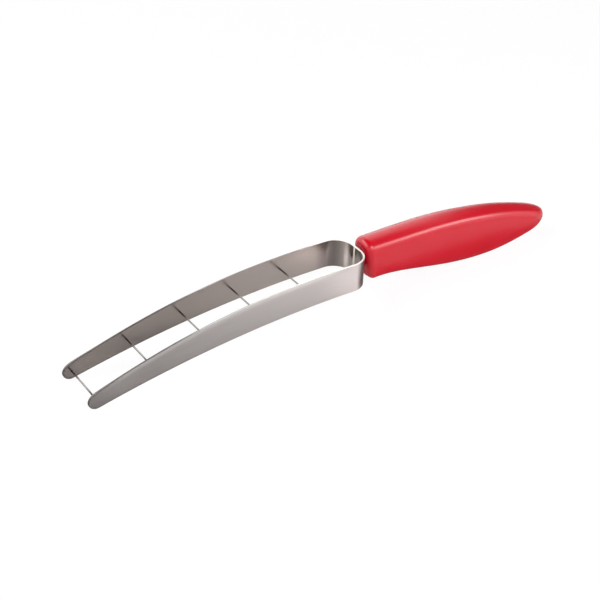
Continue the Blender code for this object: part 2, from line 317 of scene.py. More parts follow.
@dataclass(frozen=True)
class BeltBrushedStrip(Finish):
    """Bright-annealed stainless spring strip, brushed lengthwise on a fine belt.

    The belt leaves fine scratches along the strip. They smear what the steel mirrors across
    the strip, and keep it clearer along it. The scratches are about 0.02 mm wide, too fine
    for the picture, so they are drawn 0.3 mm wide. The tumbled edges are rougher, with painted
    shade that darkens them toward the tips, and the rim of the bow is blasted matt, with a
    painted pale highlight. Inside the bow, upright bands of painted shade lie beside the narrow
    raised bead of the tang's weld, whose pale colour is a painted highlight. The belt takes
    less off the inner side, so that side keeps the warm tone of the annealing.
    """

    name: str = "belt_brushed_stainless_strip"
    colour: str = "#CCC5C3"
    streak_colour: str = "#C5BEBC"
    ground_colour: str = "#D8D3D1"
    # The edges' dark colour is painted shade.
    edge_colour: str = "#625C5A"
    roughness: float = 0.2
    roughness_change: float = 0.02
    edge_roughness: float = 0.42
    # The rim's pale colour is a painted highlight.
    rim_colour: str = "#FBF8F4"
    rim_roughness: float = 0.85
    inner_tint: str = "#FFFAF5"
    marks_reach: float = 26.0 * MM
    # How much light the painted shade inside the bow leaves, each as millimetres past the bow's
    # middle and a share.
    bow_marks: tuple[Plan, ...] = (
        (-14.0, 1.0), (-8.0, 0.75), (-2.5, 0.65), (-0.2, 0.65), (0.2, 1.0), (1.8, 1.0), (2.2, 0.65),
        (3.9, 0.62), (5.0, 1.0), (7.6, 1.0), (9.0, 0.85), (11.0, 0.58), (13.0, 0.42), (15.5, 0.42),
        (18.0, 0.7), (24.0, 1.0))
    # The bead of the tang's weld is raised; its pale colour is a painted highlight.
    bead_run: float = 1.0 * MM
    bead_half_width: float = 0.42 * MM
    bead_softness: float = 0.25 * MM
    bead_rise: float = 0.08 * MM
    bead_colour: str = "#D6CEC2"
    bead_roughness: float = 0.6
    smear: float = 0.88
    smear_turn: float = 0.25
    streak_width: float = 0.3 * MM
    streak_length: float = 24.0 * MM
    streak_detail: float = 3.0
    streak_harshness: float = 0.6
    streak_range: Plan = (0.32, 0.68)
    streak_strength: float = 0.3
    streak_depth: float = 0.003 * MM

    def fill(self, add: AddNode, shader: bpy.types.Node) -> None:
        """Adds the patterns and sets the shader."""
        uv = add("ShaderNodeUVMap", uv_map=RUN_UV)
        run = add("ShaderNodeSeparateXYZ", (uv,))
        stretched = add("ShaderNodeMapping", {
            "Vector": uv, "Scale": (1 / self.streak_length, 1 / self.streak_width, 1.0)})
        streaks = add("ShaderNodeTexNoise", {
            "Vector": stretched, "Scale": 1.0, "Detail": self.streak_detail,
            "Roughness": self.streak_harshness})
        contrast = add("ShaderNodeMapRange", (streaks, *self.streak_range))
        colour = add("ShaderNodeMix", (
            contrast, linear(self.streak_colour), linear(self.colour)), data_type="RGBA")
        roughness = add("ShaderNodeMapRange", {
            "Value": contrast, "To Min": self.roughness + self.roughness_change,
            "To Max": self.roughness - self.roughness_change})
        ground, edge, inner, rim = (
            add("ShaderNodeAttribute", output="Fac", attribute_name=name)
            for name in STRIP_SHARES)
        bead = self.bead(add, run, inner)
        # Here go the edges' painted shade, the bow's painted shade, and the painted highlights of
        # the bead and the rim, with their roughness.
        for share, tint, blend, rough in (
                (ground, linear(self.ground_colour), "MIX", None),
                (edge, linear(self.edge_colour), "MIX", self.edge_roughness),
                (inner, self.marks(add, run), "MULTIPLY", None),
                (bead, linear(self.bead_colour), "MIX", self.bead_roughness),
                (rim, linear(self.rim_colour), "MIX", self.rim_roughness)):
            colour = add("ShaderNodeMix", (share, colour, tint), data_type="RGBA", blend_type=blend)
            if rough is not None:
                roughness = add("ShaderNodeMix", (share, roughness, rough), data_type="FLOAT")
        scratched = add("ShaderNodeBump", {
            "Height": streaks, "Strength": self.streak_strength, "Distance": self.streak_depth})
        raised = add("ShaderNodeBump", {
            "Height": bead, "Distance": self.bead_rise, "Normal": scratched})
        feed(shader, {
            "Metallic": 1.0, "Base Color": colour, "Roughness": roughness, "Normal": raised,
            "Anisotropic": self.smear, "Anisotropic Rotation": self.smear_turn,
            "Tangent": add("ShaderNodeTangent", direction_type="UV_MAP", uv_map=RUN_UV)})

    def marks(self, add: AddNode, run: Socket) -> Socket:
        """Adds the painted shade inside the bow and the tone of the annealing.

        Args:
            add: Adds a node to the material.
            run: The place along the strip.

        Returns:
            What the painted shade leaves of the light, as a colour.
        """
        place = add("ShaderNodeMapRange", (run, -self.marks_reach, self.marks_reach))
        levels = add("ShaderNodeValToRGB", (place,))
        stops = levels.node.color_ramp.elements
        red, green, blue, _ = linear(self.inner_tint)
        while len(stops) < len(self.bow_marks):
            stops.new(1.0)
        for stop, (at, level) in zip(stops, self.bow_marks):
            stop.position = 0.5 + at * MM / self.marks_reach / 2
            stop.color = (level * red, level * green, level * blue, 1.0)
        return levels

    def bead(self, add: AddNode, run: Socket, inner: Socket) -> Socket:
        """Adds the bead of the tang's weld: raised, with a painted highlight.

        Args:
            add: Adds a node to the material.
            run: The place along the strip.
            inner: 1 on the strip's inner side, or else 0.

        Returns:
            Where the bead is, from 0 to 1.
        """
        past = add("ShaderNodeMath", (run, self.bead_run), operation="SUBTRACT")
        distance = add("ShaderNodeMath", (past,), operation="ABSOLUTE")
        end = self.bead_half_width + self.bead_softness
        line = add("ShaderNodeMapRange", (distance, self.bead_half_width, end, 1.0, 0.0), **EASED)
        return add("ShaderNodeMath", (line, inner), operation="MULTIPLY")


@dataclass(frozen=True)
class DrawnWire(Finish):
    """Stainless spring wire, drawn through a die and spot-welded.

    Drawing leaves it satin, without the strip's long scratches. Both ends are darker: the
    welding heat leaves a straw-brown oxide there, and painted shade reaches further along
    the wire from each arm.
    """

    name: str = "drawn_stainless_wire"
    colour: str = "#8A8784"
    # The ends' dark colour is partly weld oxide and partly painted shade.
    weld_colour: str = "#2C2724"
    roughness: float = 0.42
    weld_roughness: float = 0.45
    die_line_length: float = 3.0 * MM
    spotting: float = 0.3

    def fill(self, add: AddNode, shader: bpy.types.Node) -> None:
        """Adds the patterns and sets the shader."""
        # The share of the ends' weld oxide and painted shade.
        weld = add("ShaderNodeAttribute", output="Fac", attribute_name=WELD_SHARE)
        where = add("ShaderNodeTexCoord", output="Object")
        spots = add("ShaderNodeTexNoise", {"Vector": where, "Scale": 1 / self.die_line_length})
        heat = add("ShaderNodeMath", (spots, self.spotting, -self.spotting / 2),
                   operation="MULTIPLY_ADD", use_clamp=True)
        share = add("ShaderNodeMath", (weld, heat), operation="ADD", use_clamp=True)
        feed(shader, {
            "Metallic": 1.0,
            "Base Color": add("ShaderNodeMix", (
                share, linear(self.colour), linear(self.weld_colour)), data_type="RGBA"),
            "Roughness": add("ShaderNodeMapRange", {
                "Value": share, "To Min": self.roughness, "To Max": self.weld_roughness})})


@dataclass(frozen=True)
class MillStrip(Finish):
    """Cold-rolled stainless strip, left as the mill rolled it.

    Rolling leaves a duller, cloudy grey than the brushed arms have.
    """

    name: str = "mill_rolled_stainless_strip"
    colour: str = "#B4B0AB"
    cloud_colour: str = "#9C9892"
    roughness: float = 0.4
    roughness_change: float = 0.06
    cloud_size: float = 2.5 * MM
    cloud_detail: float = 4.0

    def fill(self, add: AddNode, shader: bpy.types.Node) -> None:
        """Adds the patterns and sets the shader."""
        where = add("ShaderNodeTexCoord", output="Object")
        clouds = add("ShaderNodeTexNoise", {
            "Vector": where, "Scale": 1 / self.cloud_size, "Detail": self.cloud_detail})
        feed(shader, {
            "Metallic": 1.0,
            "Base Color": add("ShaderNodeMix", (
                clouds, linear(self.cloud_colour), linear(self.colour)), data_type="RGBA"),
            "Roughness": add("ShaderNodeMapRange", {
                "Value": clouds, "To Min": self.roughness + self.roughness_change,
                "To Max": self.roughness - self.roughness_change})})


@dataclass(frozen=True)
class MouldedPlastic(Finish):
    """Polypropylene, injection moulded in a satin, spark-eroded mould.

    The mould's fine grain gives broad, soft highlights on a saturated red. The real grain is
    about 0.06 mm, too fine for the picture, so it is drawn 0.35 mm wide.
    """

    name: str = "satin_moulded_polypropylene"
    colour: str = "#D50A25"
    deep_colour: str = "#CD0921"
    roughness: float = 0.25
    roughness_change: float = 0.03
    ior: float = 1.49
    grain: float = 0.35 * MM
    grain_strength: float = 0.5
    grain_depth: float = 0.006 * MM
    cloud_size: float = 18.0 * MM

    def fill(self, add: AddNode, shader: bpy.types.Node) -> None:
        """Adds the patterns and sets the shader."""
        where = add("ShaderNodeTexCoord", output="Object")
        grain, clouds = (
            add("ShaderNodeTexNoise", {"Vector": where, "Scale": 1 / size})
            for size in (self.grain, self.cloud_size))
        feed(shader, {
            "IOR": self.ior,
            "Base Color": add("ShaderNodeMix", (
                clouds, linear(self.deep_colour), linear(self.colour)), data_type="RGBA"),
            "Roughness": add("ShaderNodeMapRange", {
                "Value": grain, "To Min": self.roughness - self.roughness_change,
                "To Max": self.roughness + self.roughness_change}),
            "Normal": add("ShaderNodeBump", {
                "Height": grain, "Strength": self.grain_strength, "Distance": self.grain_depth})})


@dataclass(frozen=True)
class StripShape:
    """Sizes of the bent strip, and the rules that its edges follow."""

    width: float = 26.0 * MM
    thickness: float = 1.0 * MM
    height: float = 15.05 * MM
    arm_length: float = 152.5 * MM
    bow_flat: float = 5.6 * MM
    arc_radius: float = 586.0 * MM
    arc_setback: float = 25.0 * MM
    taper_length: float = 108.0 * MM
    tip_height: float = 8.05 * MM
    tip_rounding: float = 4.7 * MM
    tip_rise: float = 0.85 * MM
    tip_rise_ease: float = 1.4

    @property
    def outer_radius(self) -> float:
        """Outer radius of the two corners between the bow's flat back and the arms."""
        return (self.width - self.bow_flat) / 2

    @property
    def middle_radius(self) -> float:
        """The corners' radius at the middle of the strip's thickness."""
        return self.outer_radius - self.thickness / 2

    @property
    def arm_run(self) -> float:
        """Length of an arm before the bow's corner starts."""
        return self.arm_length - self.outer_radius

    @property
    def half_run(self) -> float:
        """Length of the flat strip from one tip to the middle of the bow's back."""
        return self.arm_run + self.middle_radius * math.pi / 2 + self.bow_flat / 2

    def x_at(self, from_tip: float) -> float:
        """Returns x at a distance along the strip from its tip."""
        turn = min(math.pi / 2, max(0.0, (from_tip - self.arm_run) / self.middle_radius))
        if turn > 0:
            return self.middle_radius * math.sin(turn) - self.outer_radius
        return from_tip - self.arm_length

    def lower_edge(self, x: float) -> float:
        """Returns the height of the lower edge, a shallow arc that is 0 at the bow's back."""
        crown_rise = math.sqrt(self.arc_radius ** 2 - self.arc_setback ** 2)
        return math.sqrt(self.arc_radius ** 2 - (x + self.arc_setback) ** 2) - crown_rise

    def height_at(self, x: float) -> float:
        """Returns the strip's height before its tip is rounded."""
        into_taper = max(0.0, self.taper_length - self.arm_length - x)
        return self.height - (self.height - self.tip_height) * (into_taper / self.taper_length) ** 2

    def middle_at(self, x: float) -> float:
        """Returns the height of the strip's middle line."""
        into_tip = max(0.0, 1 - (x + self.arm_length) / self.tip_rounding)
        rise = self.tip_rise * into_tip ** self.tip_rise_ease
        return self.lower_edge(x) + self.height_at(x) / 2 + rise


@dataclass(frozen=True)
class RestPose:
    """How the strip's own axes lie in the model's frame."""

    pitch: float
    shift: Vector

    @classmethod
    def from_frame(cls, shape: StripShape, pitch: float, step: float = 0.5 * MM,
                   steps: int = 200) -> "RestPose":
        """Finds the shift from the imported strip's box.

        Args:
            shape: The strip's sizes.
            pitch: The turn about Y that rests the slicer on the table.
            step: How finely the arm is searched for its highest place, back from the bow.
            steps: How many steps the search takes.

        Returns:
            The pose.
        """
        low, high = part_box("cutting_frame")
        turn = Matrix.Rotation(pitch, 3, "Y")
        tip = turn @ Vector((-shape.arm_length, 0.0, shape.middle_at(-shape.arm_length)))
        top = max(
            (turn @ Vector((x, 0.0, shape.lower_edge(x) + shape.height_at(x)))).z
            for x in (-step * i for i in range(1, steps + 1)))
        return cls(pitch, Vector((low.x - tip.x, 0.0, high.z - top)))

    def matrix(self) -> Matrix:
        """Returns the matrix that takes the strip's own axes into the model's frame."""
        return Matrix.Translation(self.shift) @ Matrix.Rotation(self.pitch, 4, "Y")


@dataclass(frozen=True)
class EdgeRuns:
    """How far an arm's upper edge stays free of the painted edge shade and keeps the rim's painted
    highlight, and how it stops being so.
    """

    bright_run: float
    rim_run: float
    rim_runout: float


@dataclass
class CuttingStrip:
    """The U-shaped strip: two arms with round tips, and the bow that joins them.

    The flat blank is drawn first, as a strip in run and height with rounded edges and the
    ground bevel. A Geometry Nodes tree then bends it round the bow's two corners.
    """

    shape: StripShape
    pose: RestPose
    edge_radius: float = 0.16 * MM
    bevel_height: float = 2.7 * MM
    bevel_depth: float = 0.45 * MM
    bevel_runout: float = 14.0 * MM
    bevel_softness: float = 0.4
    tip_zone: float = 14.0 * MM
    edge_reach: float = 0.9 * MM
    bright_runout: float = 30.0 * MM
    edge_runs: dict[Side, EdgeRuns] = field(default_factory=lambda: {
        Side.NEAR: EdgeRuns(72.0 * MM, 45.0 * MM, 60.0 * MM),
        Side.FAR: EdgeRuns(60.0 * MM, 22.0 * MM, 14.0 * MM)})
    least_dull: float = 0.45
    tip_columns: int = 18
    tip_crowding: float = 1.5
    arm_columns: int = 52
    corner_columns: int = 28
    flat_columns: int = 4
    rows: int = 40
    edge_steps: int = 4
    finish: Finish = field(default_factory=BeltBrushedStrip)

    def column_places(self) -> list[Plan]:
        """Returns each column's distance past the tip's round and its bulge, tip to bow."""
        shape = self.shape
        places = []
        for i in range(self.tip_columns):
            share = (i / self.tip_columns) ** self.tip_crowding
            places.append((self.tip_zone * share, (1 - share) ** 2))
        arm_end = shape.arm_run - shape.tip_rounding
        corner_end = arm_end + shape.middle_radius * math.pi / 2
        flat_end = corner_end + shape.bow_flat / 2
        for first, last, count in ((self.tip_zone, arm_end, self.arm_columns),
                                   (arm_end, corner_end, self.corner_columns),
                                   (corner_end, flat_end, self.flat_columns)):
            places += [(first + (last - first) * i / count, 0.0) for i in range(count)]
        places.append((flat_end, 0.0))
        return places

    def column(self, past: float, bulge: float) -> list[Plan]:
        """Returns a column of the blank's face.

        Args:
            past: The column's distance past the start of the tip's round, at its ends.
            bulge: How much of the tip's round the column follows.

        Returns:
            Its points as (run from the bow's middle, height), from the lower edge up.
        """
        shape = self.shape
        reach = shape.tip_rounding - self.edge_radius
        points = []
        for row in range(self.rows + 1):
            angle = math.pi * row / self.rows
            from_tip = shape.tip_rounding + past - reach * math.sin(angle) * bulge
            x = shape.x_at(from_tip)
            half = shape.height_at(x) / 2 - self.edge_radius
            z = shape.middle_at(x) - math.cos(angle) * half
            points.append((shape.half_run - from_tip, z))
        return points

    def dull_share(self, run: float) -> float:
        """Returns how much rougher edge and painted shade there is at a run: all at the tip, and
        none at the bow.
        """
        past_corner = abs(run) - (self.shape.half_run - self.shape.arm_run)
        bright_run = self.edge_runs[Side.of(run)].bright_run
        return smooth_step((past_corner - bright_run) / self.bright_runout)

    def rim_share(self, run: float, side_z: float) -> float:
        """Returns how much painted highlight the rim has on the outline's edge.

        Args:
            run: The place's distance from the bow's middle.
            side_z: How far the outline faces up there.

        Returns:
            1 on the upper edge round the bow, less along the arms, and 0 on the lower edge.
        """
        runs = self.edge_runs[Side.of(run)]
        if side_z <= 0:
            return 0.0
        return 1 - smooth_step((abs(run) - runs.rim_run) / runs.rim_runout)

    def ground_share(self, run: float, z: float) -> float:
        """Returns how deep the grinding is at a place, from 0 below the bevel to 1 at its edge.

        Args:
            run: The place's distance from the bow's middle.
            z: Its height.

        Returns:
            The share, which runs out toward the tip and the bow.
        """
        shape = self.shape
        from_tip = shape.half_run - abs(run)
        x = shape.x_at(from_tip)
        top = shape.lower_edge(x) + shape.height_at(x)
        into = (z - top + self.bevel_height) / self.bevel_height
        if into <= 0:
            return 0.0
        soft = self.bevel_softness
        rise = into * into / (2 * soft) if into < soft else into - soft / 2
        room = min(from_tip - shape.tip_rounding, shape.arm_run - from_tip)
        return rise / (1 - soft / 2) * smooth_step(room / self.bevel_runout)

    def edge_share(self, run: float, z: float) -> float:
        """Returns how much a place of a face has of the rougher edge and its painted shade.

        Args:
            run: The place's distance from the bow's middle.
            z: Its height.

        Returns:
            The share, which falls with the distance from the outline.
        """
        shape = self.shape
        from_tip = shape.half_run - abs(run)
        x = shape.x_at(from_tip)
        half = shape.height_at(x) / 2
        into_round = max(0.0, 1 - from_tip / shape.tip_rounding)
        across = (z - shape.middle_at(x)) / half
        if into_round > 0:
            room = (1 - math.hypot(into_round, across)) * min(half, shape.tip_rounding)
        else:
            room = (1 - abs(across)) * half
        return (1 - smooth_step(room / self.edge_reach)) * self.dull_share(run)

    def border(self, count: int) -> list[int]:
        """Returns the border of a face.

        Args:
            count: How many columns of vertices the face has.

        Returns:
            Its vertex numbers, from the start of the lower edge and with the outside on the right.
        """
        high = self.rows + 1
        lower = [i * high for i in range(count)]
        last = [(count - 1) * high + j for j in range(1, high)]
        upper = [i * high + self.rows for i in range(count - 2, -1, -1)]
        return lower + last + upper + list(range(self.rows - 1, 0, -1))

    def outward(self, loop: Sequence[Plan]) -> list[Plan]:
        """Returns the outward side of each point of a closed loop.

        Args:
            loop: The points, in run and height.

        Returns:
            A direction of length 1 for each of them.
        """
        sides = []
        for k in range(len(loop)):
            before, after = loop[k - 1], loop[(k + 1) % len(loop)]
            along = Vector((after[0] - before[0], after[1] - before[1])).normalized()
            sides.append((along.y, -along.x))
        return sides

    def blank(self) -> bpy.types.Object:
        """Returns the flat blank: run along X, outer side toward -Y, height along Z.

        Each of its vertices is listed with the four shares that the finish reads.
        """
        half = [self.column(past, bulge) for past, bulge in self.column_places()]
        columns = [[(-run, z) for run, z in column] for column in half] + half[-2::-1]
        flat = [place for column in columns for place in column]
        middle = self.shape.thickness / 2
        outer, inner = [], []
        for run, z in flat:
            cut, tumbled = self.ground_share(run, z), self.edge_share(run, z)
            outer.append((run, -middle + self.bevel_depth * cut, z, cut, tumbled, 0.0, 0.0))
            inner.append((run, middle, z, 0.0, tumbled, 1.0, 0.0))
        vertices = outer + inner
        faces: list[Loop] = []
        for i in range(len(columns) - 1):
            for a in range(i * (self.rows + 1), i * (self.rows + 1) + self.rows):
                b = a + self.rows + 1
                faces.append((a, b, b + 1, a + 1))
                faces.append(tuple(len(flat) + v for v in (a, a + 1, b + 1, b)))
        border = self.border(len(columns))
        sides = self.outward([flat[v] for v in border])
        rings: list[Loop] = [border]
        steps = range(1, self.edge_steps + 1)
        for step, is_outer in [(i, True) for i in steps] + [(i, False) for i in reversed(steps)]:
            angle = math.pi / 2 * step / self.edge_steps
            reach = self.edge_radius * math.sin(angle)
            drop = self.edge_radius * (1 - math.cos(angle))
            rings.append(range(len(vertices), len(vertices) + len(border)))
            for v, (side_run, side_z) in zip(border, sides):
                run, depth, z, cut = (outer if is_outer else inner)[v][:4]
                vertices.append((
                    run + side_run * reach, depth + (drop if is_outer else -drop),
                    z + side_z * reach, cut, max(self.least_dull, self.dull_share(run)), 0.0,
                    self.rim_share(run, side_z)))
        rings.append([len(flat) + v for v in border])
        mesh = new_mesh("strip_blank", [vertex[:3] for vertex in vertices], faces + bridge(rings))
        layer = mesh.uv_layers.new(name=RUN_UV)
        for loop in mesh.loops:
            run, _, z = vertices[loop.vertex_index][:3]
            layer.data[loop.index].uv = (run, z)
        for name, shares in zip(STRIP_SHARES, list(zip(*vertices))[3:]):
            mesh.attributes.new(name, "FLOAT", "POINT").data.foreach_set("value", shares)
        return new_object("strip_blank", mesh)

    def bend(self, material: bpy.types.Material) -> GeometryRecipe:
        """Returns the tree that bends the blank round the bow and lays it at rest."""
        shape = self.shape
        recipe = GeometryRecipe("bend_strip", {
            "Flat Half Width": shape.bow_flat / 2,
            "Corner Radius": shape.middle_radius,
            "Corner Centre X": -shape.outer_radius,
            "Rest Shift": tuple(self.pose.shift),
            "Rest Pitch": self.pose.pitch,
            "Material": material,
        })
        add, given = recipe.add, recipe.given
        maths = "ShaderNodeMath"
        radius = given("Corner Radius")
        place = add("ShaderNodeSeparateXYZ", (add("GeometryNodeInputPosition"),))
        run, depth, height = place.node.outputs
        side = add(maths, (run,), operation="SIGN")
        distance = add(maths, (run,), operation="ABSOLUTE")
        on_flat = add(maths, (distance, given("Flat Half Width")), operation="MINIMUM")
        past_flat = add(maths, (distance, on_flat), operation="SUBTRACT")
        wanted = add(maths, (past_flat, radius), operation="DIVIDE")
        turn = add(maths, (wanted, math.pi / 2), operation="MINIMUM")
        turned = add(maths, (turn, radius), operation="MULTIPLY")
        along_arm = add(maths, (past_flat, turned), operation="SUBTRACT")
        reach = add(maths, (radius, depth), operation="SUBTRACT")
        cosine = add(maths, (turn,), operation="COSINE")
        sine = add(maths, (turn,), operation="SINE")
        behind = add(maths, (reach, cosine, given("Corner Centre X")), operation="MULTIPLY_ADD")
        x = add(maths, (behind, along_arm), operation="SUBTRACT")
        across = add(maths, (reach, sine, on_flat), operation="MULTIPLY_ADD")
        y = add(maths, (across, side), operation="MULTIPLY")
        bent = add("GeometryNodeSetPosition", {
            "Geometry": given("Geometry"),
            "Position": add("ShaderNodeCombineXYZ", (x, y, height))})
        recipe.close(add("GeometryNodeTransform", {
            "Geometry": bent, "Translation": given("Rest Shift"),
            "Rotation": add("ShaderNodeCombineXYZ", {"Y": given("Rest Pitch")})}))
        return recipe

    def build(self) -> bpy.types.Object:
        """Builds and dresses the strip, in place of the CAD node."""
        piece = self.bend(self.finish.make()).bake(self.blank(), "bent_strip")
        dress(piece, Slot.FRAME, ("cutting_frame",))
        return piece


@dataclass
class CrossWires:
    """The round wires between the arms, each with a small weld at both ends."""

    shape: StripShape
    count: int = 5
    diameter: float = 0.8 * MM
    weld_reach: float = 0.4 * MM
    weld_spread: float = 0.12 * MM
    # How far from each arm the wire stays fully dark, and where that ends: weld oxide, and painted
    # shade.
    heat_full: float = 3.0 * MM
    heat_reach: float = 9.5 * MM
    sides: int = 20
    steps: int = 57
    finish: Finish = field(default_factory=DrawnWire)

    def recipe(self, material: bpy.types.Material) -> GeometryRecipe:
        """Returns the tree that sets one welded wire at each point."""
        recipe = GeometryRecipe("welded_wires", {
            "Wire Length": self.shape.width - 2 * self.shape.thickness,
            "Wire Radius": self.diameter / 2,
            "Weld Reach": self.weld_reach,
            "Weld Spread": self.weld_spread,
            "Heat Full": self.heat_full,
            "Heat Reach": self.heat_reach,
            "Sides": self.sides,
            "Steps": self.steps,
            "Material": material,
        })
        add, given = recipe.add, recipe.given
        maths = "ShaderNodeMath"
        half = add(maths, (given("Wire Length"), 0.5), operation="MULTIPLY")
        line = add("GeometryNodeCurvePrimitiveLine", {
            "Start": (0.0, -1.0, 0.0), "End": (0.0, 1.0, 0.0)})
        fine = add("GeometryNodeResampleCurve", {"Curve": line, "Count": given("Steps")})
        place = add("ShaderNodeSeparateXYZ", (add("GeometryNodeInputPosition"),), "Y")
        quarter = add(maths, (place, math.pi / 2), operation="MULTIPLY")
        crowded = add(maths, (quarter,), operation="SINE")
        y = add(maths, (crowded, half), operation="MULTIPLY")
        drawn = add("GeometryNodeSetPosition", {
            "Geometry": fine, "Position": add("ShaderNodeCombineXYZ", {"Y": y})})
        from_middle = add(maths, (place,), operation="ABSOLUTE")
        to_arm = add(maths, (half, from_middle), operation="SUBTRACT")
        weld_part = add("ShaderNodeMapRange", (to_arm, 0.0, given("Weld Reach"), 1.0, 0.0))
        squared = add(maths, (weld_part, 2.0), operation="POWER")
        under_root = add(maths, (1.0, squared), operation="SUBTRACT")
        root = add(maths, (under_root,), operation="SQRT")
        flare = add(maths, (1.0, root), operation="SUBTRACT")
        radius = add(maths, (
            flare, given("Weld Spread"), given("Wire Radius")), operation="MULTIPLY_ADD")
        # Darker toward both arms: weld oxide, and painted shade.
        heated = add("ShaderNodeMapRange", (
            to_arm, given("Heat Full"), given("Heat Reach"), 1.0, 0.0), **EASED)
        marked = add("GeometryNodeStoreNamedAttribute", {
            "Geometry": drawn, "Name": WELD_SHARE, "Value": heated},
            data_type="FLOAT", domain="POINT")
        section = add("GeometryNodeCurvePrimitiveCircle", {
            "Resolution": given("Sides"), "Radius": 1.0})
        tube = add("GeometryNodeCurveToMesh", {
            "Curve": marked, "Profile Curve": section, "Scale": radius, "Fill Caps": True})
        smooth = add("GeometryNodeSetShadeSmooth", {"Geometry": tube})
        recipe.close(add("GeometryNodeInstanceOnPoints", {
            "Points": given("Geometry"), "Instance": smooth}))
        return recipe

    def build(self) -> bpy.types.Object:
        """Builds and dresses the wires, in place of the CAD nodes."""
        nodes = tuple(f"cross_wire_{number + 1}" for number in range(self.count))
        centres = [(low + high) / 2 for low, high in map(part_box, nodes)]
        points = new_object("wire_places", new_mesh("wire_places", centres))
        piece = self.recipe(self.finish.make()).bake(points, "welded_cross_wires")
        dress(piece, Slot.WIRE, nodes)
        return piece


@dataclass
class Tang:
    """The strip that carries the handle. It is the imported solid, which only gets a finish."""

    finish: Finish = field(default_factory=MillStrip)

    def build(self) -> bpy.types.Object:
        """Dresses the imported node."""
        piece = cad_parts["tang"]
        material = self.finish.make()
        if not piece.material_slots:
            piece.data.materials.append(material)
        for slot in piece.material_slots:
            slot.material = material
        return piece


